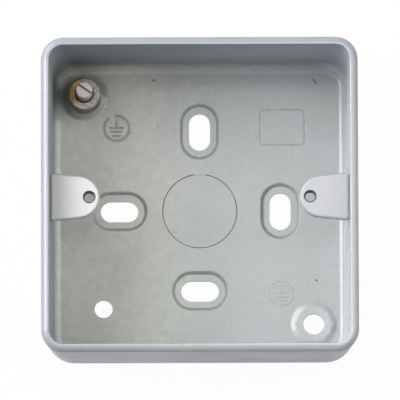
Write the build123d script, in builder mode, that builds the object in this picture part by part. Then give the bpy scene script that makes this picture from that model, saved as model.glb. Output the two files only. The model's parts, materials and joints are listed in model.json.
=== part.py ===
"""A one-gang surface mount back box in painted pressed steel, with fixing lugs and an earth terminal.

Millimetres. The box lies on its back: +Z points out of the open front and +Y is the top of the box on the
wall. The origin is the middle of the back, on the plane of the feet.
"""
import os
from math import cos, radians, tan

from build123d import *

# Box shell
outer_size = 86.4
overall_depth = 40.0
sheet = 2.2
draft_angle = 1.4
corner_radius = 6.2
back_corner_radius = 8.0
floor_radius = 2.1
rim_slope_inset = 1.6
rim_slope_drop = 0.7
rim_edge_inset = 0.5
rim_edge_drop = 1.5
rim_inner_edge = 0.2
wall_foot_margin = 0.2

# Slotted fixing points, pressed outwards as feet
foot_depth = 1.0
foot_angle = 53.0
recess_edge = 0.35
slot_centre = 22.15
slot_width = 5.8
slot_length = 10.4
slot_border = 1.7

# Dished terminal pads, pressed inwards in two opposite corners and placed from the walls
pad_height = 1.2
pad_angle = 29.0
pad_top_radius = 4.5
pad_hole_radius = 2.9
terminal_pad_from_left = 8.53
terminal_pad_from_top = 8.79
spare_pad_from_right = 8.89
spare_pad_from_bottom = 8.59

# Plain hole in the floor
plain_hole_x = -26.6
plain_hole_y = -27.1
plain_hole_radius = 2.5

# Half-sheared round knockout, set back from the floor and held by one tie at its top
knockout_radius = 10.35
knockout_gap = 0.25
knockout_web = 0.5
knockout_tie = 3.4
knockout_set = 0.2

# Fixing lugs, bent brackets welded inside the left and right walls
fixing_centres = 60.3
lug_drop = 6.3
lug_thickness = 2.0
lug_bend_outer = 0.9
lug_bend_inner = 0.4
lug_leg = 7.0
lug_leg_width = 11.0
lug_root_width = 13.2
lug_tip_radius = 5.75
lug_tip_reach = 2.9
lug_edge = 0.7
lug_hole_radius = 1.6
lug_collar_wall = 1.1
lug_collar_depth = 1.4

# Earth terminal pillar, riveted through the upper left pad
pillar_radius = 4.35
pillar_height = 8.8
pillar_edge = 0.4
pillar_floor = 1.4
bore_runout = 0.4
bore_mouth = 0.3
wire_hole_radius = 2.1
wire_hole_turn = -25.0
spigot_clearance = 0.05
peen_overlap = 0.7
peen_thickness = 0.9
peen_angle = 30.0

# Earth terminal screw
screw_radius = 2.3
screw_length = 9.8
screw_clearance = 0.05
screw_tip_gap = 0.3
screw_edge = 0.3
screw_point = 0.5
screw_slot_width = 0.6
screw_slot_depth = 1.3
screw_slot_offset = 0.4
screw_slot_turn = -35.0

# Levels and places that follow from the sizes above
wall_lean = tan(radians(draft_angle))
wall_skin = sheet / cos(radians(draft_angle))
floor_level = foot_depth + sheet
back_radius = floor_radius + sheet
wall_foot = foot_depth + back_radius + wall_foot_margin
rim_widest = overall_depth - rim_edge_drop
corner_growth = (back_corner_radius - corner_radius) / (rim_widest - wall_foot)


def wall_outline(level, inset):
    """Width and corner radius of the wall's outline at a level, set in from its outside."""
    depth = rim_widest - level
    return outer_size - 2 * (depth * wall_lean + inset), corner_radius + depth * corner_growth - inset


wall_third = (rim_widest - wall_foot) / 3
wall_levels = (wall_foot, wall_foot + wall_third, wall_foot + 2 * wall_third, rim_widest)
outer_sections = [(level, 0) for level in wall_levels]
outer_sections.append((overall_depth - rim_slope_drop, rim_edge_inset))
outer_sections.append((overall_depth, rim_slope_inset))
inner_sections = [(level, wall_skin) for level in wall_levels]
inner_sections.append((overall_depth - rim_inner_edge, wall_skin))
inner_sections.append((overall_depth, wall_skin - rim_inner_edge))
base_width, base_corner = wall_outline(wall_foot, 0)
pocket_width, pocket_corner = wall_outline(wall_foot, wall_skin)

upright_slots = [(0, slot_centre), (slot_centre, 0)]
level_slots = [(0, -slot_centre), (-slot_centre, 0)]
foot_taper = 90 - foot_angle
foot_run = foot_depth / tan(radians(foot_angle))
foot_growth = sheet * tan(radians(foot_angle / 2))
recess_width = slot_width + 2 * (slot_border + foot_run)
recess_length = slot_length + 2 * (slot_border + foot_run)

pad_taper = 90 - pad_angle
pad_level = floor_level + pad_height
pad_base_radius = pad_top_radius + pad_height / tan(radians(pad_angle))
pad_growth = sheet * tan(radians(pad_angle / 2))
terminal_place = (terminal_pad_from_left - pocket_width / 2, pocket_width / 2 - terminal_pad_from_top)
spare_place = (pocket_width / 2 - spare_pad_from_right, spare_pad_from_bottom - pocket_width / 2)
pad_places = [terminal_place, spare_place]

knockout_shear = (sheet - knockout_web) / 2

lug_level = overall_depth - lug_drop
lug_hole_place = fixing_centres / 2
lug_tip_place = lug_hole_place - lug_tip_reach
lug_root_top = wall_outline(lug_level, wall_skin)[0] / 2
lug_root_foot = wall_outline(lug_level - lug_leg, wall_skin)[0] / 2

terminal_seat = Plane((*terminal_place, pad_level))
wire_hole_height = pillar_floor + bore_runout + wire_hole_radius
wire_way_direction = Vector(1, 0, 0).rotate(Axis.Z, wire_hole_turn)
wire_way = Plane(terminal_seat.offset(wire_hole_height).origin, z_dir=wire_way_direction)
bore_radius = screw_radius + screw_clearance
screw_tip_height = wire_hole_height + wire_hole_radius + screw_tip_gap

os.makedirs("parts", exist_ok=True)

# Box shell: a drafted block, rounder towards its back, hollowed to an even sheet, then pressed and pierced
with BuildPart() as box_shell:
    for level, inset in outer_sections:
        width, radius = wall_outline(level, inset)
        with BuildSketch(Plane.XY.offset(level)):
            RectangleRounded(width, width, radius)
    loft(ruled=True)
    with BuildSketch(Plane.XY.offset(wall_foot)):
        RectangleRounded(base_width, base_width, base_corner)
    extrude(amount=foot_depth - wall_foot, taper=draft_angle)
    fillet(box_shell.faces().sort_by(Axis.Z)[0].edges(), back_radius)

    # The inside follows the outside at the thickness of the sheet
    for level, inset in inner_sections:
        width, radius = wall_outline(level, inset)
        with BuildSketch(Plane.XY.offset(level)):
            RectangleRounded(width, width, radius)
    loft(ruled=True, mode=Mode.SUBTRACT)
    with BuildSketch(Plane.XY.offset(wall_foot)):
        RectangleRounded(pocket_width, pocket_width, pocket_corner)
    extrude(amount=floor_level - wall_foot, taper=draft_angle, mode=Mode.SUBTRACT)
    fillet(box_shell.faces().filter_by(Axis.Z).sort_by(Axis.Z)[1].edges(), floor_radius)

    # The terminal pads rise from the floor and are hollow behind
    with BuildSketch(Plane.XY.offset(floor_level)):
        with Locations(*pad_places):
            Circle(pad_base_radius)
    extrude(amount=pad_height, taper=pad_taper)
    with BuildSketch(Plane.XY.offset(foot_depth)):
        with Locations(*pad_places):
            Circle(pad_base_radius - pad_growth)
    extrude(amount=pad_height, taper=pad_taper, mode=Mode.SUBTRACT)

    # The feet stand out of the back
    with BuildSketch(Plane.XY.offset(foot_depth)):
        with Locations(*upright_slots):
            SlotOverall(recess_length + 2 * foot_growth, recess_width + 2 * foot_growth, rotation=90)
        with Locations(*level_slots):
            SlotOverall(recess_length + 2 * foot_growth, recess_width + 2 * foot_growth)
    extrude(amount=-foot_depth, taper=foot_taper)

    # From the front, each foot is a recess round its slot, with its brim eased
    with BuildSketch(Plane.XY.offset(floor_level)):
        with Locations(*upright_slots):
            SlotOverall(recess_length, recess_width, rotation=90)
        with Locations(*level_slots):
            SlotOverall(recess_length, recess_width)
    extrude(amount=-foot_depth, taper=foot_taper, mode=Mode.SUBTRACT)
    recess_brims = box_shell.edges(Select.LAST).group_by(Axis.Z)[-1]
    chamfer(recess_brims, recess_edge)

    # Slots and round holes go right through
    with BuildSketch(Plane.XY.offset(pad_level)):
        with Locations(*upright_slots):
            SlotOverall(slot_length, slot_width, rotation=90)
        with Locations(*level_slots):
            SlotOverall(slot_length, slot_width)
        with Locations(*pad_places):
            Circle(pad_hole_radius)
        with Locations((plain_hole_x, plain_hole_y)):
            Circle(plain_hole_radius)
    extrude(amount=-pad_level, mode=Mode.SUBTRACT)

    # The knockout is sheared part way from both faces, except at its tie
    for level, cut in ((floor_level, -knockout_shear), (foot_depth, knockout_shear)):
        with BuildSketch(Plane.XY.offset(level)):
            Circle(knockout_radius)
            Circle(knockout_radius - knockout_gap, mode=Mode.SUBTRACT)
            with Locations((0, knockout_radius)):
                Rectangle(knockout_tie, knockout_radius, mode=Mode.SUBTRACT)
        extrude(amount=cut, mode=Mode.SUBTRACT)

    # The shearing leaves its disc set back from the floor and proud of the back
    for level, mode in ((floor_level, Mode.SUBTRACT), (foot_depth, Mode.ADD)):
        with BuildSketch(Plane.XY.offset(level)):
            Circle(knockout_radius - knockout_gap)
        extrude(amount=-knockout_set, mode=mode)
box_shell.part.label = "box_shell"
export_step(box_shell.part, "parts/box_shell.step")

# Right fixing lug: a tapered tongue on a narrower leg against the wall, with a collar under its hole
with BuildPart() as fixing_lug_right:
    with BuildSketch(Plane.XZ):
        with BuildLine():
            Polyline(
                (lug_tip_place, lug_level),
                (lug_root_top, lug_level),
                (lug_root_foot, lug_level - lug_leg),
                (lug_root_foot - lug_thickness, lug_level - lug_leg),
                (lug_root_top - lug_thickness, lug_level - lug_thickness),
                (lug_tip_place, lug_level - lug_thickness),
                close=True,
            )
        lug_section = make_face()
        bend_corners = lug_section.vertices().sort_by_distance((lug_root_top, lug_level, 0))
        fillet(bend_corners[0], lug_bend_outer)
        fillet(bend_corners[1], lug_bend_inner)
    extrude(amount=lug_root_width / 2, both=True)
    with BuildSketch(Plane.XY.offset(lug_level)):
        with Locations((lug_tip_place + lug_tip_radius, 0)):
            Circle(lug_tip_radius)
        with BuildLine():
            Line((lug_root_top, -lug_root_width / 2), (lug_root_top, lug_root_width / 2))
        make_hull()
    extrude(amount=-lug_leg, mode=Mode.INTERSECT)
    with BuildSketch(Plane.XY.offset(lug_level - lug_leg)):
        with Locations((lug_root_foot, 0)):
            Rectangle(lug_root_width, 2 * lug_root_width)
            Rectangle(lug_root_width, lug_leg_width, mode=Mode.SUBTRACT)
    extrude(amount=lug_leg - lug_thickness, mode=Mode.SUBTRACT)
    tongue = fixing_lug_right.faces().filter_by(Axis.Z).sort_by(Axis.Z)[-1]
    chamfer(tongue.edges().sort_by(Axis.X)[:-1], lug_edge)
    with BuildSketch(Plane.XY.offset(lug_level - lug_thickness)):
        with Locations((lug_hole_place, 0)):
            Circle(lug_hole_radius + lug_collar_wall)
    extrude(amount=-lug_collar_depth)
    with Locations((lug_hole_place, 0, lug_level)):
        Hole(lug_hole_radius, lug_thickness + lug_collar_depth)
fixing_lug_right.part.label = "fixing_lug_right"
export_step(fixing_lug_right.part, "parts/fixing_lug_right.step")

# Left fixing lug
with BuildPart() as fixing_lug_left:
    mirror(fixing_lug_right.part, about=Plane.YZ)
fixing_lug_left.part.label = "fixing_lug_left"
export_step(fixing_lug_left.part, "parts/fixing_lug_left.step")

# Earth terminal pillar: a turned post with a rivet end, a blind bore and a cross hole for the wire
with BuildPart() as earth_terminal_pillar:
    with BuildSketch(terminal_seat):
        Circle(pillar_radius)
    extrude(amount=pillar_height)
    chamfer(earth_terminal_pillar.faces().sort_by(Axis.Z)[-1].edges(), pillar_edge)
    with BuildSketch(terminal_seat):
        Circle(pad_hole_radius - spigot_clearance)
    extrude(amount=-sheet)
    with BuildSketch(terminal_seat.offset(-sheet)):
        Circle(pad_hole_radius + peen_overlap)
    extrude(amount=-peen_thickness, taper=peen_angle)
    with BuildSketch(terminal_seat.offset(pillar_height)):
        Circle(bore_radius)
    extrude(amount=pillar_floor - pillar_height, mode=Mode.SUBTRACT)
    chamfer(earth_terminal_pillar.faces().sort_by(Axis.Z)[-1].inner_wires().edges(), bore_mouth)
    with BuildSketch(wire_way):
        Circle(wire_hole_radius)
    extrude(amount=2 * pillar_radius, both=True, mode=Mode.SUBTRACT)
earth_terminal_pillar.part.label = "earth_terminal_pillar"
export_step(earth_terminal_pillar.part, "parts/earth_terminal_pillar.step")

# Earth terminal screw: its tip rests just above the wire hole
with BuildPart() as earth_terminal_screw:
    with BuildSketch(terminal_seat.offset(screw_tip_height)):
        Circle(screw_radius)
    extrude(amount=screw_length)
    chamfer(earth_terminal_screw.faces().sort_by(Axis.Z)[-1].edges(), screw_edge)
    chamfer(earth_terminal_screw.faces().sort_by(Axis.Z)[0].edges(), screw_point)
    with BuildSketch(terminal_seat.offset(screw_tip_height + screw_length)):
        with Locations(Location((0, 0, 0), (0, 0, screw_slot_turn))):
            with Locations((0, screw_slot_offset)):
                Rectangle(2 * screw_radius, screw_slot_width)
    extrude(amount=-screw_slot_depth, mode=Mode.SUBTRACT)
earth_terminal_screw.part.label = "earth_terminal_screw"
export_step(earth_terminal_screw.part, "parts/earth_terminal_screw.step")
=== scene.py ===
"""Looks of a one-gang surface mount back box in worn grey paint, laid out as a Blender add-on.

Metres, in the frame of the packed model: the box lies on its back, +Z points out of its open front and
+Y is its top on the wall.
"""
import json
from collections import namedtuple
from math import cos, pi, radians, sin, tau

import bmesh
import bpy
from bpy.props import FloatProperty, FloatVectorProperty, PointerProperty
from mathutils import Matrix, Vector


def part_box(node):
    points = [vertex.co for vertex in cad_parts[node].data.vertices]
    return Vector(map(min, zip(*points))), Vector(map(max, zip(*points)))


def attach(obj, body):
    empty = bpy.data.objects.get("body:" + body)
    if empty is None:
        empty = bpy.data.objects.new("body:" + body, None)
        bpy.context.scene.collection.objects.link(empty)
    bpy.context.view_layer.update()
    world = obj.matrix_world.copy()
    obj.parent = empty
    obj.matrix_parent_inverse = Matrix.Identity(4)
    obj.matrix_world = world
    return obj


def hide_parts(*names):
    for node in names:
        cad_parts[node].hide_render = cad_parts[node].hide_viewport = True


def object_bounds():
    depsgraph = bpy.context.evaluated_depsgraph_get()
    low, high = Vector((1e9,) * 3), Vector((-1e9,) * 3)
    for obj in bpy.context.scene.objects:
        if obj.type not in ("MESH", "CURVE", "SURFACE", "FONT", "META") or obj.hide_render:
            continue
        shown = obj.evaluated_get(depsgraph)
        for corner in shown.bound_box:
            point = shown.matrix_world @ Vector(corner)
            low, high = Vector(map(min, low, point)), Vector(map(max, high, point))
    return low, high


bl_info = {
    "name": "Surface mount back box",
    "version": (1, 0, 0),
    "blender": (4, 5, 0),
    "location": "3D View > Sidebar > Back box",
    "description": "Dresses a painted steel back box with its lugs, earth terminal and stamped signs",
    "category": "Object",
}

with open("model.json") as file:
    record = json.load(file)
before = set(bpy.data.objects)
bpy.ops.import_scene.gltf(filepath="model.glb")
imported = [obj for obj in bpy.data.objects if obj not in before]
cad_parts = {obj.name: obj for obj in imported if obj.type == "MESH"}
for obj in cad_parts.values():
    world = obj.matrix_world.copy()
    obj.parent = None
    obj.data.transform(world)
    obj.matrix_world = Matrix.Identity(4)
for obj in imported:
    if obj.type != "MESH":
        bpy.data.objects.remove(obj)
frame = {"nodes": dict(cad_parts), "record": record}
CAD_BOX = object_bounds()

MM = 0.001
MERGE_DISTANCE = 0.002 * MM
SLIVER_WIDTH = 0.0002 * MM
RING_SLACK = 0.01 * MM
FLAT_ANGLE = radians(0.6)
SMOOTH_ANGLE = radians(50)
ENDLESS = 1e6

# Faces round a ring or a bar, a thread and a quarter turn, and across a pad's rounded brim
ROUND_STEPS = 64
THREAD_STEPS = 48
CORNER_STEPS = 6
BRIM_STEPS = 4

# Places read from the packed model
mounts = {mount["name"]: mount for mount in frame["record"]["mounts"]}
floor_level = mounts["plain_floor_hole"]["pos_m"][2]
pad_level = mounts["spare_terminal_hole"]["pos_m"][2]
lug_level = mounts["cover_fixings"]["pos_m"][2]
lug_hole_place = mounts["cover_fixings"]["dims"]["spacing_x_mm"] / 2 * MM
pillar_low, pillar_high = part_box("earth_terminal_pillar")
screw_low, screw_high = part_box("earth_terminal_screw")
terminal_axis = ((pillar_low + pillar_high) / 2).to_2d()
spare_axis = Vector(mounts["spare_terminal_hole"]["pos_m"]).to_2d()
slot_turn = radians(-35)
slot_offset = 0.4 * MM
slot_middle = terminal_axis + Vector((-sin(slot_turn), cos(slot_turn))) * slot_offset

# How the walls lean, and how their corners grow rounder from the rim to the back
half_width = CAD_BOX[1][0]
RIM_LEVEL = 38.5 * MM
RIM_CORNER = 6.2 * MM
WALL_LEAN = 0.0244
CORNER_GROWTH = 0.0545

# A stamped line: its width, the run of each slanted side and its depth
Groove = namedtuple("Groove", "width side depth")
GROOVE_CORNERS = 4

# Height of each line's middle above the earth sign's middle, and half its length, in radii of the ring
SIGN_BARS = ((0.03, 0.58), (-0.28, 0.46), (-0.60, 0.35))
SIGN_STEM = (0.38, 0.35)

# A stem is a hair shallower than the bar it runs into, so that no two bottoms lie in one plane
STEM_DEPTH_SHARE = 0.98

# A tool's face with a normal lower than this is a groove's bottom
BOTTOM_NORMAL = -0.97

# Rings beyond this share of the largest one on a pad are its brim, and the rest are its hole
BRIM_SHARE = 0.8

# How far tools reach past the faces they cut, and how deep the mouths of the lugs' holes are
TOOL_REACH = MM
SHORT_REACH = 0.1 * MM
MOUTH_DEPTH = 0.4 * MM

# How far the screw's thread stays under the plain rod it is cut from
THREAD_INSET = 0.03 * MM

# Bearing from +X and height above the floor of each lamp in degrees, its size in lamp sizes, and its tint
Lamp = namedtuple("Lamp", "bearing height size tint", defaults=(1, (1, 1, 1)))
LAMPS = {
    "upper_left": Lamp(150, 42),
    "left": Lamp(180, 38, 0.4, (0.94, 0.97, 1)),
    "right": Lamp(0, 50),
    "upper_right": Lamp(30, 38),
    "above": Lamp(0, 85),
}

# Clouds in a finish: their size, and how fine, rough and twisted they are
Clouds = namedtuple("Clouds", "size detail roughness distortion", defaults=(4.0, 0.55, 0.0))

# A smooth change: the value where it starts and where it is whole, and its strength there and at the start
Fade = namedtuple("Fade", "start whole strength base", defaults=(1.0, 0.0))


def over(start, whole, strength=1.0, zero=0.0):
    """A fade over a distance, given in millimetres from a zero."""
    return Fade(zero + start * MM, zero + whole * MM, strength)


# Inside of the box: under the outer skin, and off the back, which rises in a fillet to the walls
UNDER_SKIN = over(1.65, 1.95)
BACK_FILLET = over(31, 33, 1.1 * MM)
OFF_BACK = over(1.2, 1.9)

# Heights inside the box
LOW = Fade(24 * MM, floor_level + MM)
BOTTOM = over(5, 1, zero=floor_level)
FLOOR = over(1, 0.1, zero=floor_level)
BELOW_RIM = over(0, -1, zero=RIM_LEVEL)

# The enamel and the dust on it, painted light and shade from left to right, and a painted highlight on the
# right fillet
BROAD = Clouds(20 * MM, 2.0, 0.5)
LINING_TURN = over(-20, 20)
RIM_TURN = over(-5, 40)
OUTSIDE_CLOUDS = Fade(0.3, 0.7, 0.25)
DUST_CLOUDS = Fade(0.2, 0.7, 1.0, 0.7)
HIGHLIGHT_SIDE = over(30, 36)
HIGHLIGHT_FILLET = over(0.5, 2, zero=floor_level)
GLOSS_CLOUDS = (0.3, 0.7)
GLOSS_SWING = 0.03
OUTSIDE_DULLING = 0.4

# Greenish staining on the left of the floor, paled as painted light against the left wall's shadow
STAIN_DRIFT = 30 * MM
STAIN_AND_LIGHT_TURN = over(24, -6, 0.9)
STAIN_MOTTLES = Clouds(3 * MM, 3.0, 0.5)
STAIN_MOTTLING = Fade(0.3, 0.7, 1.0, 0.6)

# Painted shade along the floor's upper edge, on its lower part, and on the upper and the left wall
EDGE_SHADE = over(32, 37, 0.3)
EDGE_SHADE_START = over(-24, -8)
LOWER_SHADE = over(-8, -30, 0.13)
UPPER_WALL = over(34, 39)
UPPER_WALL_FOOT = over(2.5, 8, zero=floor_level)
LEFT_WALL = over(-34, -39)
LEFT_WALL_FOOT = over(0.3, 1.6, zero=floor_level)
LEFT_WALL_SHARE = 0.8
WALL_SHADE_HEIGHTS = (8 * MM, 30 * MM)

# Darkening on the steps of the pressed feet, painted shade in the corner by the terminal, a ring of deposit
# and painted shade round it, and specks of deposit on the floor
STEP_TOP = over(0, -0.15, 0.5, zero=floor_level)
STEP_FOOT = over(-1, -0.8, zero=floor_level)
PAST_KNOCKOUT = over(11, 12)
SHADE_HALO_MIDDLE = terminal_axis + Vector((-2, 3)) * MM
SHADE_HALO = over(14, 5, 0.35)
GRIME_AND_SHADE_MIDDLE = terminal_axis + Vector((-0.2, 0.8)) * MM
GRIME_AND_SHADE_CLOUDS = Clouds(2.2 * MM, 5.0)
GRIME_AND_SHADE_RAGGEDNESS = 1.6 * MM
GRIME_AND_SHADE_EDGE = 0.2 * MM
GRIME_AND_SHADE_STRENGTH = 0.6
SPECKLES = Clouds(0.9 * MM, 3.0, 0.6)
SPECKLING = Fade(0.32, 0.68, 0.12)

# Dirt in the stamped lines, and oil in the tapped holes
LINE_TURN = over(-12, 12)
LINE_CLOUDS = Clouds(1.1 * MM, 4.0, 0.6)
LINE_RUBBING = Fade(0.42, 0.72, 0.5)
OIL_CLOUDS = Clouds(0.8 * MM, 4.0)
OIL_FILM = Fade(0.4, 0.7, 0.6)

# Brass of the pillar, measured from its axis, with painted shade in its mouth round the screw
BRASS_PATCHES = Clouds(1.6 * MM, 5.0, 0.65, 0.5)
BRASS_GRAIN = Clouds(0.55 * MM, 5.0, 0.7)
PALE_GRAIN = Fade(0.46, 0.60)
TARNISH_DRIFT = 3 * MM
TARNISH_TURN = over(0.7, 2.9)
BLOOM_DRIFT = 2.5 * MM
BLOOM_TURN = over(3.0, 4.6, 0.85)
RUBBED_MIDDLE = terminal_axis + Vector((-2.5, 2.3)) * MM
RUBBED_HALF_LENGTH = 2.3 * MM
RUBBED_HALF_WIDTH = 0.9 * MM
RUBBED_TURN = radians(47)
RUBBED = Fade(1.5, 0.3, 0.9)
RUBBED_STREAKS = Fade(0.40, 0.56, 1.0, 0.35)
BRASS_SPECKS = Clouds(0.9 * MM, 6.0, 0.75, 0.6)
BRASS_SPECKLING = Fade(0.47, 0.6, 0.7)
PILLAR_EDGE = over(4.25, 4.36, 0.85)
PILLAR_EDGE_TURN = over(0.5, 4)
PILLAR_MOUTH_SHADE = over(2.65, 2.4, 0.95)
PILLAR_SIDE = over(-0.35, -0.9, zero=pillar_high.z)

# Plating of the screw, measured from its axis, with painted shade down its side and at its foot
PLATING_PATCHES = Clouds(1.8 * MM, 4.0, 0.6)
PLATING_WEAR = Fade(0.40, 0.66, 0.9)
PLATING_GRAIN = Clouds(0.35 * MM, 3.0, 0.6)
SCREW_SIDE_SHADE = over(-0.3, -1.6, 0.7, zero=screw_high.z)
SCREW_FOOT_SHADE = over(1.6, 0.4, 0.9, zero=pillar_high.z)
SLOT_DEPTH = over(-0.06, -0.3, zero=screw_high.z)
SLOT_LENGTH = over(2.1, 1.8)
SLOT_CORE_HALF_WIDTH = 0.12 * MM
SLOT_CORE = Fade(1.4, 0.7)

# Small marks in the paint: the middle in millimetres, half its length and width, and its turn in degrees
Blemish = namedtuple("Blemish", "x y half_length half_width turn")
BLEMISHES = (
    Blemish(32.1, -19.35, 0.42, 0.36, 0),
    Blemish(-11.6, 23.7, 0.2, 0.3, 0),
    Blemish(-19.0, 22.0, 0.17, 0.24, 0),
    Blemish(-26.0, 28.4, 0.6, 0.14, 0),
    Blemish(31.9, 36.0, 1.4, 0.22, -52),
    Blemish(-12.6, 36.5, 0.5, 0.3, 0),
    Blemish(-35.9, 37.4, 0.26, 0.2, 0),
)
FAR_FROM_BLEMISHES = 2.0
BLEMISH_EDGE = (1.15, 0.55)


def length(name, description, millimetres):
    """A length property, given in millimetres and kept in metres."""
    return FloatProperty(
        name=name, description=description, default=millimetres * MM, precision=5, unit="LENGTH"
    )


def place(name, description, *millimetres):
    """A place, given in millimetres from the middle of the back and kept in metres."""
    spot = [value * MM for value in millimetres]
    return FloatVectorProperty(
        name=name, description=description, size=len(spot), default=spot, precision=5, unit="LENGTH"
    )


def colour(name, description, red, green, blue):
    """A colour property in linear light."""
    tint = (red, green, blue)
    return FloatVectorProperty(
        name=name, description=description, size=3, default=tint, min=0.0, max=1.0, subtype="COLOR"
    )


def share(name, description, default):
    """A plain number from 0 to 1."""
    return FloatProperty(
        name=name, description=description, default=default, min=0.0, max=1.0, subtype="FACTOR"
    )


def angle(name, description, degrees):
    """An angle property, given in degrees."""
    return FloatProperty(name=name, description=description, default=radians(degrees), subtype="ANGLE")


def power(name, description, watts):
    """The power of a lamp."""
    return FloatProperty(name=name, description=description, default=watts, min=0.0, unit="POWER")


class PaintSettings(bpy.types.PropertyGroup):
    """Grey enamel of the box and its lugs, with its dust, deposits and blemishes, and painted light and
    shade.
    """

    paint: colour("Paint", "Grey enamel of the outside, dulled by handling", 0.41, 0.433, 0.49)
    rim: colour("Rim", "Enamel of the rim on the left and above", 0.305, 0.322, 0.345)
    # Paler rim on the right and below: painted light
    rim_painted_light: colour("Worn rim", "Paler enamel of the rim on the right and below", 0.40, 0.415, 0.428)
    # Painted shade on the lining's left and painted light on its right
    lining_left_painted_shade: colour("Lining, left", "Handled enamel of the inside, on the left", 0.375, 0.40, 0.42)
    lining_right_painted_light: colour("Lining, right", "Cleaner enamel of the inside, on the right", 0.485, 0.515, 0.555)
    # Painted light on the left lug against the left wall's shadow, and painted shade on the right lug
    lug_left_painted_light: colour("Left lug", "Pale enamel of the left lug", 0.565, 0.57, 0.57)
    lug_right_painted_shade: colour("Right lug", "Pale enamel of the right lug", 0.435, 0.44, 0.45)
    dust: colour("Dust", "Dull film on the floor of the box", 0.40, 0.416, 0.408)
    # Paler than the dust: this greenish colour is also painted light on the left of the floor
    stain_and_light: colour("Stain", "Greenish grey of the handled left side of the floor", 0.575, 0.585, 0.525)
    # Also used as painted shade in the corner by the terminal and round its base
    grime_and_shade: colour("Grime", "Dark deposit round the earth terminal and on steps", 0.16, 0.18, 0.145)
    # Blue-grey painted shade on two walls and thinly on the floor
    painted_shade: colour("Soot", "Blue-grey smudges on two walls and thinly on the floor", 0.15, 0.16, 0.175)
    blemish: colour("Blemishes", "Small dark pits and scratches in the paint", 0.10, 0.11, 0.10)
    bold_line: colour("Bold lines", "Dirt in the sides of the upper sign's lines", 0.25, 0.26, 0.24)
    faint_line: colour("Faint lines", "Dirt in the sides of the fainter lines", 0.33, 0.345, 0.34)
    roughness: share("Roughness", "How matt the enamel is", 0.27)
    dulling: share("Dulling", "How much more matt the smudged walls are, and in part the outside", 0.4)
    # Strength of the painted shade at the foot of the upper and the left wall, fading to half higher up
    wall_shade_strength: share("Smudge", "How much soot darkens the foot of the upper and the left wall", 0.56)
    specular: share("Specular", "How strongly the enamel mirrors, where 0.5 is plain", 0.5)
    peel: length("Orange peel", "Depth of the fine grain in the enamel on the floor", 0.005)
    line_roughness: share("Line roughness", "How matt the dirt in the stamped lines is", 0.6)
    grime_and_shade_reach: length("Grime reach", "How far the grime spreads from the terminal's axis", 6.6)
    pad_easing: length("Pad easing", "Rounding of the pressed terminal pads", 0.9)


class MarkSettings(bpy.types.PropertyGroup):
    """The two stamped earth signs and the bare stamped panel on the floor of the box."""

    upper_place: place("Upper sign", "Middle of the earth sign beside the terminal", -22.95, 23.1)
    upper_radius: length("Upper radius", "Radius of the upper sign's ring", 3.47)
    upper_ring: length("Upper ring", "Width of the upper sign's ring", 0.74)
    upper_bar: length("Upper bars", "Width of the upper sign's bars", 0.6)
    upper_depth: length("Upper depth", "How deep the upper sign is stamped", 0.16)
    gap_start: angle("Gap start", "Where the worn gap in the upper sign's ring begins", 98)
    gap: angle("Gap", "How far the worn gap reaches round", 27)
    lower_place: place("Lower sign", "Middle of the earth sign beside the spare pad", 22.58, -23.05)
    lower_radius: length("Lower radius", "Radius of the lower sign's ring", 3.42)
    lower_line: length("Lower line", "Width of the lower sign's lines", 0.42)
    panel_place: place("Panel", "Middle of the bare panel at the upper right", 22.86, 23.28)
    panel_width: length("Panel width", "Width of the panel's stamped outline", 12.3)
    panel_height: length("Panel height", "Height of the panel's stamped outline", 9.8)
    panel_corner: length("Panel corner", "Radius of the panel's corners", 0.9)
    panel_line: length("Panel line", "Width of the panel's stamped line", 0.5)
    faint_depth: length("Faint depth", "How deep the lower sign and the panel are stamped", 0.09)
    line_side: length("Line side", "Run of a line's slanted side", 0.19)


class TerminalSettings(bpy.types.PropertyGroup):
    """Brass pillar and plated screw of the earth terminal, and the threads tapped in the lugs."""

    brass: colour("Brass", "Brown left side of the pillar, where the brass still shows", 0.37, 0.165, 0.05)
    pale_brass: colour("Pale brass", "Pinkish patches in the brown side", 0.56, 0.36, 0.21)
    bright_brass: colour("Bright brass", "Yellow patch where the brass was rubbed", 0.58, 0.43, 0.15)
    tarnish: colour("Tarnish", "Grey right side of the pillar", 0.45, 0.435, 0.395)
    bloom: colour("Bloom", "Pale beige lower side of the pillar", 0.58, 0.54, 0.45)
    # Also used as painted shade in the pillar's mouth and at the screw's foot
    dirt: colour("Dirt", "Dark film in edges, bores and threads", 0.045, 0.04, 0.032)
    # Also used as painted shade down the screw's side
    post_and_shade: colour("Post", "Dull green-grey of upright sides and specks", 0.16, 0.16, 0.135)
    plating: colour("Plating", "Dull grey face of the screw", 0.49, 0.49, 0.49)
    warm_plating: colour("Worn plating", "Warm tint where the plating is thin", 0.52, 0.455, 0.38)
    slot_dirt: colour("Slot dirt", "Dark film in the screw's slot", 0.03, 0.025, 0.016)
    slot_side: colour("Slot sides", "Brown edges of the screw's slot", 0.52, 0.46, 0.38)
    brass_metal: share("Brass metal", "How metallic the tarnished brass looks", 0.2)
    plating_metal: share("Plating metal", "How metallic the worn plating looks", 0.3)
    roughness: share("Roughness", "How matt the brass, the plating and the tapped steel are", 0.5)
    brass_grain: length("Brass grain", "Depth of the grain in the brass", 0.06)
    plating_grain: length("Plating grain", "Depth of the grain in the plating", 0.02)
    thread_pitch: length("Screw pitch", "Pitch of the terminal screw's thread", 0.8)
    thread_depth: length("Screw thread depth", "Depth of the terminal screw's thread", 0.4)
    lug_pitch: length("Lug pitch", "Pitch of the thread tapped in the lugs", 0.6)
    lug_thread_radius: length("Lug thread radius", "Outer radius of the thread tapped in the lugs", 1.75)
    lug_thread_depth: length("Lug thread depth", "Depth of the thread tapped in the lugs", 0.37)


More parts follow.
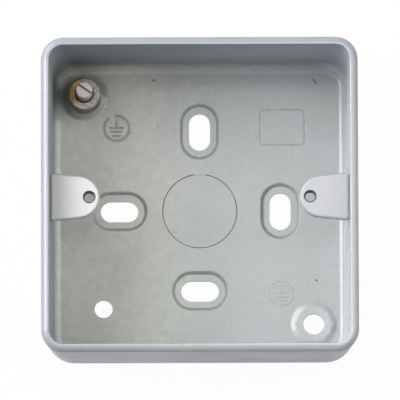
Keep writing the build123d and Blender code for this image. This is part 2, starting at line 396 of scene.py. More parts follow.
class StageSettings(bpy.types.PropertyGroup):
    """Camera, lamps and white surroundings."""

    tilt: angle("Tilt", "How far the camera leans from straight above towards the box's lower side", 7.55)
    roll: angle("Roll", "Turn of the camera about its own axis", 0.2)
    distance: length("Distance", "From the camera to the point it looks at", 2614.0)
    picture_width: length("Picture width", "Width of the picture at the point the camera looks at", 109.66)
    target: place("Target", "Point that the camera looks at", 0.07, 0.86, 20.0)
    floor_size: length("Floor size", "Side of the square floor", 3000.0)
    floor_tint: colour("Floor tint", "How the floor takes light", 0.6, 0.6, 0.6)
    floor_roughness: share("Floor roughness", "How matt the floor is", 0.9)
    floor_glow: share("Floor glow", "How much of the floor's look is plain white", 0.97)
    lamp_distance: length("Lamp distance", "From each lamp to the middle of the box", 1000.0)
    lamp_size: length("Lamp size", "Side of each square lamp", 800.0)
    upper_left: power("Upper left", "Lamp at the upper left", 13.2)
    left: power("Left", "Lamp on the left", 3.4)
    right: power("Right", "Lamp on the right", 3.5)
    upper_right: power("Upper right", "Lamp at the upper right", 2.4)
    above: power("Above", "Lamp right above the box", 1.4)
    ambient: colour("Ambient", "Light of the surroundings on the box", 0.05, 0.05, 0.052)


class Shader:
    """One material's node tree, with short names for the nodes that the finishes use."""

    def __init__(self, name, tint=None):
        self.tint = tint
        self.material = bpy.data.materials.new(name)
        self.material.use_nodes = True
        self.nodes = self.material.node_tree.nodes
        self.links = self.material.node_tree.links
        self.surface = self.nodes["Principled BSDF"]
        self.position = self.nodes.new("ShaderNodeTexCoord").outputs["Object"]

    def node(self, kind, settings=None, **inputs):
        """Add a node, set its options and its sockets, and link the sockets that are given as outputs."""
        made = self.nodes.new(kind)
        for option, value in (settings or {}).items():
            setattr(made, option, value)
        for socket, value in inputs.items():
            self.join(value, made.inputs[socket.replace("_", " ")])
        return made

    def join(self, value, socket):
        """Link an output to a socket, or write a plain value into it."""
        if isinstance(value, bpy.types.NodeSocket):
            self.links.new(value, socket)
        else:
            socket.default_value = value

    def noise(self, clouds):
        """Clouds of about the given size in metres."""
        made = self.node(
            "ShaderNodeTexNoise",
            Vector=self.position,
            Scale=1 / clouds.size,
            Detail=clouds.detail,
            Roughness=clouds.roughness,
            Distortion=clouds.distortion,
        )
        return made.outputs["Fac"]

    def fade(self, value, change):
        """Turn a value into a smooth change between two of its levels."""
        made = self.node(
            "ShaderNodeMapRange",
            {"interpolation_type": "SMOOTHSTEP"},
            Value=value,
            From_Min=change.start,
            From_Max=change.whole,
            To_Min=change.base,
            To_Max=change.strength,
        )
        return made.outputs["Result"]

    def maths(self, operation, first, second=0.0):
        """A sum, product or other simple step on two values."""
        made = self.nodes.new("ShaderNodeMath")
        made.operation = operation
        self.join(first, made.inputs[0])
        self.join(second, made.inputs[1])
        return made.outputs[0]

    def times(self, first, *others):
        """The product of some values."""
        for other in others:
            first = self.maths("MULTIPLY", first, other)
        return first

    def mix(self, factor, first, second):
        """One colour over another."""
        made = self.nodes.new("ShaderNodeMix")
        made.data_type = "RGBA"
        self.join(factor, made.inputs["Factor"])
        for value, socket in ((first, made.inputs[6]), (second, made.inputs[7])):
            self.join(value if isinstance(value, bpy.types.NodeSocket) else (*value, 1.0), socket)
        return made.outputs[2]

    def cover(self, mask, colour_above):
        """Lay a colour over the tint so far, where a mask says."""
        self.tint = self.mix(mask, self.tint, colour_above)

    def placed(self, centre, turn=0.0, scale=(1, 1, 1)):
        """The object's coordinates, measured from an upright axis."""
        made = self.node(
            "ShaderNodeMapping",
            {"vector_type": "TEXTURE"},
            Vector=self.position,
            Location=(*centre, 0),
            Rotation=(0, 0, turn),
            Scale=scale,
        )
        return made.outputs["Vector"]

    def axes(self, centre=(0, 0)):
        """The object's X, Y and Z, measured from an upright axis."""
        return self.node("ShaderNodeSeparateXYZ", Vector=self.placed(centre)).outputs

    def reach(self, centre, along=1.0, across=1.0, turn=0.0):
        """Distance from an upright axis, in metres or in half lengths and widths of a long mark."""
        away = self.node("ShaderNodeVectorMath", {"operation": "LENGTH"})
        self.links.new(self.placed(centre, turn, (along, across, ENDLESS)), away.inputs[0])
        return away.outputs["Value"]

    def bump(self, height, depth):
        """Raise the surface by a height pattern of the given depth in metres."""
        made = self.node("ShaderNodeBump", Height=height, Distance=depth, Strength=1.0)
        self.links.new(made.outputs["Normal"], self.surface.inputs["Normal"])

    def set(self, **inputs):
        """Set or link sockets of the surface shader."""
        for socket, value in inputs.items():
            self.join(value, self.surface.inputs[socket.replace("_", " ")])


class Enamel(Shader):
    """Satin grey enamel: clouded outside, dusty, stained and grimy inside, with painted light and shade
    across the lining and the rim, painted shade on two walls and the floor, and a painted highlight on the
    right fillet.
    """

    def __init__(self, name, settings, left_tint, right_tint, blemished_and_shaded):
        super().__init__(name)
        self.settings = settings
        self.blemished_and_shaded = blemished_and_shaded
        self.x, self.y, self.z = self.axes()
        self.inside = self.hollow()
        self.low = self.times(self.inside, self.fade(self.z, LOW))
        self.below_rim = self.fade(self.z, BELOW_RIM)
        self.broad = self.noise(BROAD)
        self.coat(left_tint, right_tint)
        self.dust()
        self.stain_and_light()
        self.floor_shade()
        shaded = self.painted_wall_shade()
        self.grime_and_shade()
        self.blemishes()
        self.finish(shaded)

    def hollow(self):
        """One on the inside of the box, and nought on its outside, its rim and its back."""
        drop = self.maths("SUBTRACT", RIM_LEVEL, self.z)
        corner = self.maths("ADD", self.times(drop, CORNER_GROWTH), RIM_CORNER)
        inset = self.maths("ADD", corner, self.times(drop, WALL_LEAN))
        straight = self.maths("SUBTRACT", half_width, inset)
        along = [self.maths("ABSOLUTE", axis) for axis in (self.x, self.y)]
        past = [self.maths("MAXIMUM", self.maths("SUBTRACT", side, straight), 0.0) for side in along]
        away = self.maths("SQRT", self.maths("ADD", *(self.times(run, run) for run in past)))
        under_skin = self.fade(self.maths("SUBTRACT", corner, away), UNDER_SKIN)
        back = self.fade(self.maths("MAXIMUM", *along), BACK_FILLET)
        return self.times(under_skin, self.fade(self.maths("SUBTRACT", self.z, back), OFF_BACK))

    def coat(self, left_tint, right_tint):
        """The bare coat: a lining turning from painted shade on the left to painted light on the right, the
        rim with painted light towards its lower right, and the clouded outside.
        """
        settings = self.settings
        lining = self.mix(self.fade(self.x, LINING_TURN), left_tint, right_tint)
        # Painted light: the rim turns paler towards its lower right
        lower_right = self.maths("SUBTRACT", self.x, self.y)
        rim = self.mix(self.fade(lower_right, RIM_TURN), settings.rim, settings.rim_painted_light)
        clouded = self.mix(self.fade(self.broad, OUTSIDE_CLOUDS), settings.paint, settings.rim)
        self.tint = self.mix(self.inside, self.mix(self.below_rim, rim, clouded), lining)

    def dust(self):
        """A dull film on the floor, kept off the fillet under the right wall as a painted highlight."""
        film = self.times(self.low, self.fade(self.broad, DUST_CLOUDS))
        # Painted highlight: the fillet under the right wall is kept bare of dust
        painted_highlight = self.times(self.fade(self.x, HIGHLIGHT_SIDE), self.fade(self.z, HIGHLIGHT_FILLET))
        self.cover(self.maths("SUBTRACT", film, painted_highlight), self.settings.dust)

    def stain_and_light(self):
        """Mottled marks of handling on the left of the floor, paler than the dust as painted light."""
        bottom = self.times(self.inside, self.fade(self.z, BOTTOM))
        leftward = self.maths("ADD", self.x, self.times(self.broad, STAIN_DRIFT))
        mottled = self.fade(self.noise(STAIN_MOTTLES), STAIN_MOTTLING)
        self.cover(self.times(bottom, self.fade(leftward, STAIN_AND_LIGHT_TURN), mottled), self.settings.stain_and_light)

    def floor_shade(self):
        """Thin painted shade along the upper edge of the floor and on its lower part."""
        edge = self.times(self.fade(self.y, EDGE_SHADE), self.fade(self.x, EDGE_SHADE_START))
        shade_mask = self.maths("MAXIMUM", edge, self.fade(self.y, LOWER_SHADE))
        self.cover(self.times(shade_mask, self.fade(self.z, FLOOR), self.inside), self.settings.painted_shade)

    def painted_wall_shade(self):
        """Painted shade on the upper and the left wall, darkest at the foot. Returns where these walls are
        made more matt.
        """
        upper = self.times(self.fade(self.y, UPPER_WALL), self.fade(self.z, UPPER_WALL_FOOT))
        left = self.times(self.fade(self.x, LEFT_WALL), self.fade(self.z, LEFT_WALL_FOOT))
        walls = self.times(self.inside, self.blemished_and_shaded)
        wall_shade_strength = self.settings.wall_shade_strength
        thinning = self.fade(self.z, Fade(*WALL_SHADE_HEIGHTS, wall_shade_strength / 2, wall_shade_strength))
        shade_mask = self.maths("MAXIMUM", upper, self.times(left, LEFT_WALL_SHARE))
        self.cover(self.times(shade_mask, walls, thinning), self.settings.painted_shade)
        return self.times(self.maths("MAXIMUM", upper, left), walls)

    def grime_and_shade(self):
        """Darkening on the steps of the pressed feet, painted shade in the corner by the earth terminal,
        and a ring of deposit and painted shade round it.
        """
        settings = self.settings
        step = self.times(self.fade(self.z, STEP_TOP), self.fade(self.z, STEP_FOOT))
        past_knockout = self.fade(self.reach((0, 0)), PAST_KNOCKOUT)
        self.cover(self.times(step, self.inside, past_knockout), settings.grime_and_shade)
        # Painted shade in the corner round the terminal
        self.cover(self.times(self.fade(self.reach(SHADE_HALO_MIDDLE), SHADE_HALO), self.low), settings.grime_and_shade)
        torn = self.times(self.noise(GRIME_AND_SHADE_CLOUDS), GRIME_AND_SHADE_RAGGEDNESS)
        ragged = self.maths("ADD", self.reach(GRIME_AND_SHADE_MIDDLE), torn)
        outer = settings.grime_and_shade_reach + GRIME_AND_SHADE_RAGGEDNESS
        inner = settings.grime_and_shade_reach + GRIME_AND_SHADE_EDGE
        thick = self.fade(ragged, Fade(outer, inner, GRIME_AND_SHADE_STRENGTH))
        self.cover(self.times(thick, self.low), settings.grime_and_shade)

    def blemishes(self):
        """Small dark pits and scratches."""
        nearest = FAR_FROM_BLEMISHES
        for mark in BLEMISHES:
            centre = (mark.x * MM, mark.y * MM)
            away = self.reach(centre, mark.half_length * MM, mark.half_width * MM, radians(mark.turn))
            nearest = self.maths("MINIMUM", away, nearest)
        self.cover(self.fade(nearest, Fade(*BLEMISH_EDGE, self.blemished_and_shaded)), self.settings.blemish)

    def finish(self, shaded):
        """Fine specks and orange peel, and a gloss that is duller on the shaded walls and the outside."""
        settings = self.settings
        speckled = self.noise(SPECKLES)
        self.cover(self.times(self.fade(speckled, SPECKLING), self.low), settings.grime_and_shade)
        matter = settings.roughness + GLOSS_SWING
        glossier = settings.roughness - GLOSS_SWING
        sheen = self.fade(self.broad, Fade(*GLOSS_CLOUDS, matter, glossier))
        outside = self.times(self.below_rim, self.maths("SUBTRACT", 1.0, self.inside), OUTSIDE_DULLING)
        dulling = self.times(self.maths("MAXIMUM", shaded, outside), settings.dulling)
        roughness = self.maths("ADD", sheen, dulling)
        self.set(Base_Color=self.tint, Roughness=roughness, Specular_IOR_Level=settings.specular)
        self.bump(self.times(speckled, self.low), settings.peel)


def dirty_line(settings):
    """Dirt in the slanted sides of the stamped lines, bold on the left and faint on the right."""
    shader = Shader("stamped_lines", settings.bold_line)
    shader.cover(shader.fade(shader.axes()["X"], LINE_TURN), settings.faint_line)
    shader.cover(shader.fade(shader.noise(LINE_CLOUDS), LINE_RUBBING), settings.stain_and_light)
    shader.set(Base_Color=shader.tint, Roughness=settings.line_roughness)
    return shader.material


def oily_thread(settings):
    """Dark, oily steel of a tapped hole."""
    shader = Shader("tapped_steel", settings.dirt)
    shader.cover(shader.fade(shader.noise(OIL_CLOUDS), OIL_FILM), settings.post_and_shade)
    shader.set(Base_Color=shader.tint, Roughness=settings.roughness)
    return shader.material


def tarnished_brass(settings):
    """Dull brass: brown on its left, grey on its right, pale below, yellow where it was rubbed, and painted
    shade in its mouth.
    """
    shader = Shader("terminal_brass", settings.brass)
    at = shader.axes(terminal_axis)
    patches = shader.noise(BRASS_PATCHES)
    grain = shader.noise(BRASS_GRAIN)
    shader.cover(shader.fade(grain, PALE_GRAIN), settings.pale_brass)
    rightward = shader.maths("ADD", at["X"], shader.times(patches, TARNISH_DRIFT))
    shader.cover(shader.fade(rightward, TARNISH_TURN), settings.tarnish)
    downward = shader.maths("SUBTRACT", shader.times(patches, BLOOM_DRIFT), at["Y"])
    shader.cover(shader.fade(downward, BLOOM_TURN), settings.bloom)
    rubbed = shader.reach(RUBBED_MIDDLE, RUBBED_HALF_LENGTH, RUBBED_HALF_WIDTH, RUBBED_TURN)
    streaks = shader.fade(grain, RUBBED_STREAKS)
    shader.cover(shader.times(shader.fade(rubbed, RUBBED), streaks), settings.bright_brass)
    shader.cover(shader.fade(shader.noise(BRASS_SPECKS), BRASS_SPECKLING), settings.post_and_shade)
    away = shader.reach(terminal_axis)
    upper_left = shader.fade(shader.maths("SUBTRACT", at["Y"], at["X"]), PILLAR_EDGE_TURN)
    edge = shader.times(shader.fade(away, PILLAR_EDGE), upper_left)
    # Painted shade in the mouth round the screw, over a dark edge at the upper left
    shader.cover(shader.maths("MAXIMUM", edge, shader.fade(away, PILLAR_MOUTH_SHADE)), settings.dirt)
    shader.cover(shader.fade(at["Z"], PILLAR_SIDE), settings.post_and_shade)
    shader.set(Base_Color=shader.tint, Metallic=settings.brass_metal, Roughness=settings.roughness)
    shader.bump(grain, settings.brass_grain)
    return shader.material


def worn_plating(settings):
    """Dull plated brass, warm where it is worn, with a dark film in its slot and painted shade down its
    side and at its foot.
    """
    shader = Shader("screw_plating", settings.plating)
    height = shader.axes(terminal_axis)["Z"]
    shader.cover(shader.fade(shader.noise(PLATING_PATCHES), PLATING_WEAR), settings.warm_plating)
    # Painted shade down the screw's side
    shader.cover(shader.fade(height, SCREW_SIDE_SHADE), settings.post_and_shade)
    in_slot = shader.times(
        shader.fade(height, SLOT_DEPTH), shader.fade(shader.reach(terminal_axis), SLOT_LENGTH)
    )
    core = shader.fade(shader.reach(slot_middle, ENDLESS, SLOT_CORE_HALF_WIDTH, slot_turn), SLOT_CORE)
    shader.cover(in_slot, shader.mix(core, settings.slot_side, settings.slot_dirt))
    # Painted shade where the screw's foot sinks into the pillar's mouth
    shader.cover(shader.fade(height, SCREW_FOOT_SHADE), settings.dirt)
    shader.set(Base_Color=shader.tint, Metallic=settings.plating_metal, Roughness=settings.roughness)
    shader.bump(shader.noise(PLATING_GRAIN), settings.plating_grain)
    return shader.material


def new_piece(name, shape, materials):
    """Make an object at the origin from a bmesh, and free the bmesh."""
    mesh = bpy.data.meshes.new(name)
    shape.to_mesh(mesh)
    shape.free()
    for material in materials:
        mesh.materials.append(material)
    piece = bpy.data.objects.new(name, mesh)
    bpy.context.scene.collection.objects.link(piece)
    return piece


def merged_copy(node):
    """A copy of a packed node, its loose triangles merged and its flat faces made whole."""
    shape = bmesh.new()
    shape.from_mesh(frame["nodes"][node].data)
    bmesh.ops.remove_doubles(shape, verts=shape.verts, dist=MERGE_DISTANCE)
    bmesh.ops.dissolve_limit(shape, angle_limit=FLAT_ANGLE, verts=shape.verts, edges=shape.edges)
    for face in shape.faces:
        face.material_index = 0
    return shape


def combine(piece, tool, operation):
    """Cut a piece by a tool, or keep what both hold, and remove the tool."""
    modifier = piece.modifiers.new("combine", "BOOLEAN")
    modifier.object = tool
    modifier.operation = operation
    modifier.solver = "EXACT"
    modifier.use_self = True
    modifier.material_mode = "TRANSFER"
    evaluated = piece.evaluated_get(bpy.context.evaluated_depsgraph_get())
    cut = bpy.data.meshes.new_from_object(evaluated)
    piece.modifiers.clear()
    whole = piece.data
    piece.data = cut
    bpy.data.meshes.remove(whole)
    bpy.data.objects.remove(tool)
    if not cut.polygons:
        raise RuntimeError(f"{piece.name} came out empty")


def shade_smooth(piece):
    """Drop slivers, round the shading over small edges, and keep it crisp at corners and round cuts."""
    mesh = piece.data
    spare = mesh.attributes.get("custom_normal")
    if spare:
        mesh.attributes.remove(spare)
    shape = bmesh.new()
    shape.from_mesh(mesh)
    bmesh.ops.dissolve_degenerate(shape, dist=SLIVER_WIDTH, edges=shape.edges)
    shape.normal_update()
    for face in shape.faces:
        face.smooth = True
    for edge in shape.edges:
        finishes = {face.material_index for face in edge.link_faces}
        edge.smooth = len(finishes) == 1 and edge.calc_face_angle(0.0) <= SMOOTH_ANGLE
    shape.to_mesh(mesh)
    shape.free()
    weighted = piece.modifiers.new("Weighted normals", "WEIGHTED_NORMAL")
    weighted.mode = "FACE_AREA"
    weighted.keep_sharp = True


def stand_for(piece, node, body):
    """Let a piece stand for a packed node, which it hides, and ride on its body."""
    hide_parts(node)
    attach(piece, body)


def ring_edges(shape, centre, level):
    """Edges that run round an upright axis at one level."""
    found = []
    for edge in shape.edges:
        ends = [vertex.co for vertex in edge.verts]
        radii = [(end.to_2d() - centre).length for end in ends]
        at_level = all(abs(end.z - level) < RING_SLACK for end in ends)
        if at_level and abs(radii[0] - radii[1]) < RING_SLACK:
            found.append((edge, radii[0]))
    return found


def ease_pads(shape, easing):
    """Round the brims of the two pressed pads, outside their holes."""
    past_hole = max(radius for edge, radius in ring_edges(shape, spare_axis, pad_level)) * BRIM_SHARE
    brims = []
    for centre in (terminal_axis, spare_axis):
        brims += [edge for edge, radius in ring_edges(shape, centre, pad_level) if radius > past_hole]
    bmesh.ops.bevel(
        shape,
        geom=brims,
        offset=easing,
        offset_type="OFFSET",
        affect="EDGES",
        segments=BRIM_STEPS,
        profile=0.5,
        material=-1,
        clamp_overlap=True,
    )


def edges_among(parts):
    """The edges in a mixed list of vertices, edges and faces."""
    return [part for part in parts if isinstance(part, bmesh.types.BMEdge)]


def groove_wire(shape, groove, start, along):
    """A slant-sided groove's section as a closed wire, across the direction it will run in."""
    across = Vector((-along.y, along.x, 0)).normalized()
    rise = groove.depth / 2
    brim = groove.width / 2 + groove.side * rise / groove.depth
    foot = groove.width / 2 - groove.side
    corners = ((-brim, rise), (brim, rise), (foot, -groove.depth), (-foot, -groove.depth))
    verts = [shape.verts.new(start + across * side + Vector((0, 0, height))) for side, height in corners]
    return [shape.edges.new((verts[i - 1], verts[i])) for i in range(len(verts))]


def run_straight(shape, wire, step):
    """Draw a groove's section along a straight line."""
    grown = bmesh.ops.extrude_edge_only(shape, edges=wire)["geom"]
    verts = [part for part in grown if isinstance(part, bmesh.types.BMVert)]
    bmesh.ops.translate(shape, verts=verts, vec=step)
    return [edge for edge in edges_among(grown) if edge.is_boundary]


def run_round(shape, wire, centre, turn, steps):
    """Draw a groove's section round an upright axis."""
    verts = list(dict.fromkeys(vertex for edge in wire for vertex in edge.verts))
    full = turn == tau
    grown = bmesh.ops.spin(
        shape, geom=verts + wire, cent=centre, axis=(0, 0, 1), angle=turn, steps=steps, use_merge=full
    )
    return edges_among(grown["geom_last"])


def close_tool(shape):
    """Merge a tool's joints, fill its ends, and give its sides another finish than its flat bottoms."""
    bmesh.ops.remove_doubles(shape, verts=shape.verts, dist=MERGE_DISTANCE)
    ends = [edge for edge in shape.edges if edge.is_boundary]
    bmesh.ops.holes_fill(shape, edges=ends, sides=GROOVE_CORNERS)
    bmesh.ops.recalc_face_normals(shape, faces=shape.faces)
    for face in shape.faces:
        face.material_index = int(face.normal.z > BOTTOM_NORMAL)


def stamp_bar(shape, groove, middle, half, along):
    """A straight stamped line."""
    run_straight(shape, groove_wire(shape, groove, middle - along * half, along), along * half * 2)


def stamp_earth_sign(shape, stems, centre, radius, ring, bar, gap_start=0.0, gap=0.0):
    """The common protective-earth sign: a ring and three bars in one tool, and a stem in another."""
    middle = Vector((*centre, floor_level))
    rightward = Vector((1, 0, 0))
    upward = Vector((0, 1, 0))
    start = Matrix.Rotation(gap_start + gap, 3, "Z") @ rightward
    along = Matrix.Rotation(pi / 2, 3, "Z") @ start
    wire = groove_wire(shape, ring, middle + start * radius, along)
    run_round(shape, wire, middle, tau - gap, ROUND_STEPS)
    for height, half in SIGN_BARS:
        stamp_bar(shape, bar, middle + upward * radius * height, radius * half, rightward)
    height, half = SIGN_STEM
    stem = bar._replace(depth=bar.depth * STEM_DEPTH_SHARE)
    stamp_bar(stems, stem, middle + upward * radius * height, radius * half, upward)


def stamp_panel(shape, centre, width, height, corner, groove):
    """A stamped rectangle with rounded corners, bare inside."""
    middle = Vector((*centre, floor_level))
    start = middle + Vector((width / 2, -height / 2 + corner, 0))
    wire = groove_wire(shape, groove, start, Vector((0, 1, 0)))
    across = width / 2 - corner
    upward = height / 2 - corner
    turns = ((1, 1), (-1, 1), (-1, -1), (1, -1))
    pivots = [middle + Vector((x * across, y * upward, 0)) for x, y in turns]
    for i, pivot in enumerate(pivots):
        wire = run_straight(shape, wire, pivot - pivots[i - 1])
        wire = run_round(shape, wire, pivot, pi / 2, CORNER_STEPS)


def round_bar(axis, low, high, low_radius, high_radius):
    """A round bar or a cone about an upright axis."""
    shape = bmesh.new()
    bmesh.ops.create_cone(
        shape,
        cap_ends=True,
        segments=ROUND_STEPS,
        radius1=low_radius,
        radius2=high_radius,
        depth=high - low,
        matrix=Matrix.Translation((*axis, (low + high) / 2)),
    )
    return shape


def threaded_rod(axis, low, high, major, depth, pitch):
    """A rod with a V thread from one level to another, cut square at both ends."""
    shape = bmesh.new()
    flat = pitch / 8
    half = pitch / 2
    minor = major - depth
    spare = 2 * pitch
    level = low - spare
    verts = []
    while level < high + spare:
        for radius, rise in ((major, 0), (major, flat), (minor, half), (minor, half + flat)):
            verts.append(shape.verts.new((axis.x + radius, axis.y, level + rise)))
        level += pitch
    wire = [shape.edges.new(pair) for pair in zip(verts, verts[1:])]
    # A turn ends one pitch higher, on the next thread, so it merges there and not with its own start
    bmesh.ops.spin(
        shape,
        geom=verts + wire,
        cent=(*axis, 0),
        axis=(0, 0, 1),
        dvec=(0, 0, pitch / THREAD_STEPS),
        angle=tau,
        steps=THREAD_STEPS,
        use_merge=False,
    )
    bmesh.ops.remove_doubles(shape, verts=shape.verts, dist=MERGE_DISTANCE)
    for level, side in ((low, -1), (high, 1)):
        everything = shape.verts[:] + shape.edges[:] + shape.faces[:]
        cut = bmesh.ops.bisect_plane(
            shape, geom=everything, plane_co=(0, 0, level), plane_no=(0, 0, side), clear_outer=True
        )["geom_cut"]
        bmesh.ops.contextual_create(shape, geom=edges_among(cut))
    bmesh.ops.triangulate(shape, faces=shape.faces)
    bmesh.ops.recalc_face_normals(shape, faces=shape.faces)
    return shape


class BACKBOX_OT_shell(bpy.types.Operator):
    """Build the painted shell with its eased pads and its stamped signs"""

    bl_idname = "backbox.shell"
    bl_label = "Box shell"

    def execute(self, context):
        paint = context.scene.backbox_paint
        shape = merged_copy("box_shell")
        ease_pads(shape, paint.pad_easing)
        finish = Enamel("box_paint", paint, paint.lining_left_painted_shade, paint.lining_right_painted_light, blemished_and_shaded=1.0).material
        dirt = dirty_line(paint)
        shell = new_piece("painted_shell", shape, [finish])
        for stamp in self.stamps(context.scene.backbox_marks):
            close_tool(stamp)
            combine(shell, new_piece("stamp", stamp, [finish, dirt]), "DIFFERENCE")
        shade_smooth(shell)
        stand_for(shell, "box_shell", "box")
        return {"FINISHED"}

    def stamps(self, marks):
        """The stamped lines, and apart from them the stems, which run into the bars."""
        shape = bmesh.new()
        stems = bmesh.new()
        ring = Groove(marks.upper_ring, marks.line_side, marks.upper_depth)
        bar = Groove(marks.upper_bar, marks.line_side, marks.upper_depth)
        stamp_earth_sign(
            shape, stems, marks.upper_place, marks.upper_radius, ring, bar, marks.gap_start, marks.gap
        )
        line = Groove(marks.lower_line, marks.line_side, marks.faint_depth)
        stamp_earth_sign(shape, stems, marks.lower_place, marks.lower_radius, line, line)
        line = Groove(marks.panel_line, marks.line_side, marks.faint_depth)
        stamp_panel(
            shape, marks.panel_place, marks.panel_width, marks.panel_height, marks.panel_corner, line
        )
        return shape, stems


class BACKBOX_OT_lugs(bpy.types.Operator):
    """Build the two painted lugs with their tapped holes"""

    bl_idname = "backbox.lugs"
    bl_label = "Fixing lugs"

    def execute(self, context):
        terminal = context.scene.backbox_terminal
        paint = context.scene.backbox_paint
        # The lugs' two colours are painted light on the left and painted shade on the right
        finish = Enamel("lug_paint", paint, paint.lug_left_painted_light, paint.lug_right_painted_shade, blemished_and_shaded=0.0).material
        steel = oily_thread(terminal)
        thread = terminal.lug_thread_radius
        depth = terminal.lug_thread_depth
        crest = thread - depth
        filled = (thread + crest) / 2 + SHORT_REACH
        for side, place_x in (("right", lug_hole_place), ("left", -lug_hole_place)):
            node = f"fixing_lug_{side}"
            shape = merged_copy(node)
            axis = Vector((place_x, 0))
            low = min(vert.co.z for vert in shape.verts if (vert.co.to_2d() - axis).length < thread)
            lug = new_piece(f"painted_lug_{side}", shape, [finish])
            plug = round_bar(axis, low, lug_level, filled, filled)
            tap = threaded_rod(
                axis, low - TOOL_REACH, lug_level + TOOL_REACH, thread, depth, terminal.lug_pitch
            )
            mouth = round_bar(
                axis, lug_level - MOUTH_DEPTH, lug_level + SHORT_REACH, crest, thread + SHORT_REACH
            )
            combine(lug, new_piece("plug", plug, [steel]), "UNION")
            combine(lug, new_piece("tap", tap, [steel]), "DIFFERENCE")
            combine(lug, new_piece("mouth", mouth, [steel]), "DIFFERENCE")
            shade_smooth(lug)
            stand_for(lug, node, "box")
        return {"FINISHED"}


class BACKBOX_OT_pillar(bpy.types.Operator):
    """Build the brass pillar of the earth terminal"""

    bl_idname = "backbox.pillar"
    bl_label = "Earth terminal pillar"

    def execute(self, context):
        brass = tarnished_brass(context.scene.backbox_terminal)
        pillar = new_piece("terminal_pillar", merged_copy("earth_terminal_pillar"), [brass])
        shade_smooth(pillar)
        stand_for(pillar, "earth_terminal_pillar", "box")
        return {"FINISHED"}


class BACKBOX_OT_screw(bpy.types.Operator):
    """Build the threaded, slotted screw of the earth terminal"""

    bl_idname = "backbox.screw"
    bl_label = "Earth terminal screw"

    def execute(self, context):
        terminal = context.scene.backbox_terminal
        plating = worn_plating(terminal)
        screw = new_piece("terminal_screw_threaded", merged_copy("earth_terminal_screw"), [plating])
        rod = threaded_rod(
            terminal_axis,
            screw_low.z - TOOL_REACH,
            screw_high.z + TOOL_REACH,
            (screw_high.x - screw_low.x) / 2 - THREAD_INSET,
            terminal.thread_depth,
            terminal.thread_pitch,
        )
        combine(screw, new_piece("rod", rod, [plating]), "INTERSECT")
        shade_smooth(screw)
        stand_for(screw, "earth_terminal_screw", "terminal_screw")
        return {"FINISHED"}


def seen_directly(tree):
    """One for rays from the camera or by way of gloss or glass, and nought for the rest."""
    rays = tree.nodes.new("ShaderNodeLightPath").outputs
    total = rays["Is Camera Ray"]
    for kind in ("Is Glossy Ray", "Is Transmission Ray"):
        either = tree.nodes.new("ShaderNodeMath")
        either.operation = "MAXIMUM"
        tree.links.new(total, either.inputs[0])
        tree.links.new(rays[kind], either.inputs[1])
        total = either.outputs[0]
    return total


def blend_shaders(tree, factor, first, second, output):
    """Show a blend of two shaders."""
    blend = tree.nodes.new("ShaderNodeMixShader")
    for socket, value in enumerate((factor, first, second)):
        tree.links.new(value, blend.inputs[socket])
    tree.links.new(blend.outputs["Shader"], tree.nodes[output].inputs["Surface"])


def white_floor(stage):
    """A floor that looks white and still takes a faint shadow."""
    material = bpy.data.materials.new("white_floor")
    material.use_nodes = True
    tree = material.node_tree
    matt = tree.nodes["Principled BSDF"]
    matt.inputs["Base Color"].default_value = (*stage.floor_tint, 1)
    matt.inputs["Roughness"].default_value = stage.floor_roughness
    glow = tree.nodes.new("ShaderNodeEmission").outputs["Emission"]
    glow_share = tree.nodes.new("ShaderNodeMath")
    glow_share.operation = "MULTIPLY"
    tree.links.new(seen_directly(tree), glow_share.inputs[0])
    glow_share.inputs[1].default_value = stage.floor_glow
    blend_shaders(tree, glow_share.outputs[0], matt.outputs["BSDF"], glow, "Material Output")
    return material


def surroundings(ambient):
    """White surroundings to the eye, and soft light of one colour on the box."""
    world = bpy.data.worlds.new("surroundings")
    bpy.context.scene.world = world
    world.use_nodes = True
    tree = world.node_tree
    soft = tree.nodes["Background"]
    soft.inputs["Color"].default_value = (*ambient, 1)
    white = tree.nodes.new("ShaderNodeBackground")
    white.inputs["Color"].default_value = (1, 1, 1, 1)
    shown = [shader.outputs["Background"] for shader in (soft, white)]
    blend_shaders(tree, seen_directly(tree), *shown, "World Output")


def soft_lamp(name, watts, size, position, tint):
    """A square lamp aimed at the middle of the box."""
    data = bpy.data.lights.new(name, "AREA")
    data.energy = watts
    data.size = size
    data.color = tint
    lamp = bpy.data.objects.new(name, data)
    lamp.location = position
    lamp.rotation_euler = (-position).to_track_quat("-Z", "Y").to_euler()
    lamp.visible_camera = False
    bpy.context.scene.collection.objects.link(lamp)


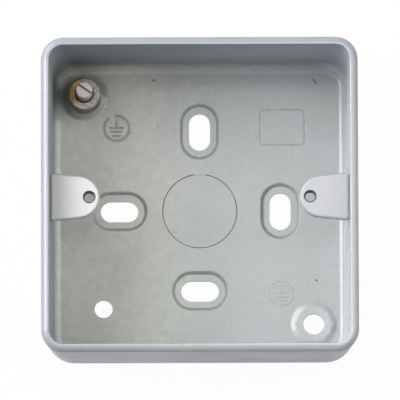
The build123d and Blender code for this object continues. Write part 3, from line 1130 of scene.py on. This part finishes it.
class BACKBOX_OT_stage(bpy.types.Operator):
    """Set up the white floor, the soft lamps and the camera"""

    bl_idname = "backbox.stage"
    bl_label = "Stage"

    def execute(self, context):
        stage = context.scene.backbox_stage
        context.scene.view_settings.view_transform = "Standard"
        ground = bmesh.new()
        bmesh.ops.create_grid(ground, x_segments=1, y_segments=1, size=stage.floor_size / 2)
        new_piece("floor", ground, [white_floor(stage)])
        surroundings(stage.ambient)
        for name, lamp in LAMPS.items():
            bearing = radians(lamp.bearing)
            height = radians(lamp.height)
            toward = Vector((cos(bearing) * cos(height), sin(bearing) * cos(height), sin(height)))
            position = toward * stage.lamp_distance
            soft_lamp(name, getattr(stage, name), stage.lamp_size * lamp.size, position, lamp.tint)
        self.add_camera(stage)
        return {"FINISHED"}

    def add_camera(self, stage):
        """A long lens that looks down into the box, leaning a little towards its lower side."""
        data = bpy.data.cameras.new("camera")
        data.lens = data.sensor_width * stage.distance / stage.picture_width
        camera = bpy.data.objects.new("camera", data)
        lean = Matrix.Rotation(stage.tilt, 4, "X") @ Matrix.Rotation(-stage.roll, 4, "Z")
        back = Matrix.Translation((0, 0, stage.distance))
        camera.matrix_world = Matrix.Translation(stage.target) @ lean @ back
        bpy.context.scene.collection.objects.link(camera)
        bpy.context.scene.camera = camera


class BACKBOX_PT_sidebar(bpy.types.Panel):
    """Lists the pieces of the back box and their settings"""

    bl_idname = "BACKBOX_PT_sidebar"
    bl_label = "Back box"
    bl_space_type = "VIEW_3D"
    bl_region_type = "UI"
    bl_category = "Back box"

    def draw(self, context):
        for operator in OPERATORS:
            self.layout.operator(operator.bl_idname)
        for name, group in SETTINGS.items():
            column = self.layout.column()
            column.label(text=group.__doc__)
            for setting in group.__annotations__:
                column.prop(getattr(context.scene, name), setting)


SETTINGS = {
    "backbox_paint": PaintSettings,
    "backbox_marks": MarkSettings,
    "backbox_terminal": TerminalSettings,
    "backbox_stage": StageSettings,
}
OPERATORS = (BACKBOX_OT_shell, BACKBOX_OT_lugs, BACKBOX_OT_pillar, BACKBOX_OT_screw, BACKBOX_OT_stage)


def register():
    for group in (*SETTINGS.values(), *OPERATORS, BACKBOX_PT_sidebar):
        bpy.utils.register_class(group)
    for name, group in SETTINGS.items():
        setattr(bpy.types.Scene, name, PointerProperty(type=group))


def unregister():
    for name in SETTINGS:
        delattr(bpy.types.Scene, name)
    for group in (BACKBOX_PT_sidebar, *reversed(OPERATORS), *SETTINGS.values()):
        bpy.utils.unregister_class(group)


def main():
    register()
    bpy.ops.backbox.shell()
    bpy.ops.backbox.lugs()
    bpy.ops.backbox.pillar()
    bpy.ops.backbox.screw()
    bpy.ops.backbox.stage()


if __name__ == "__main__":
    main()
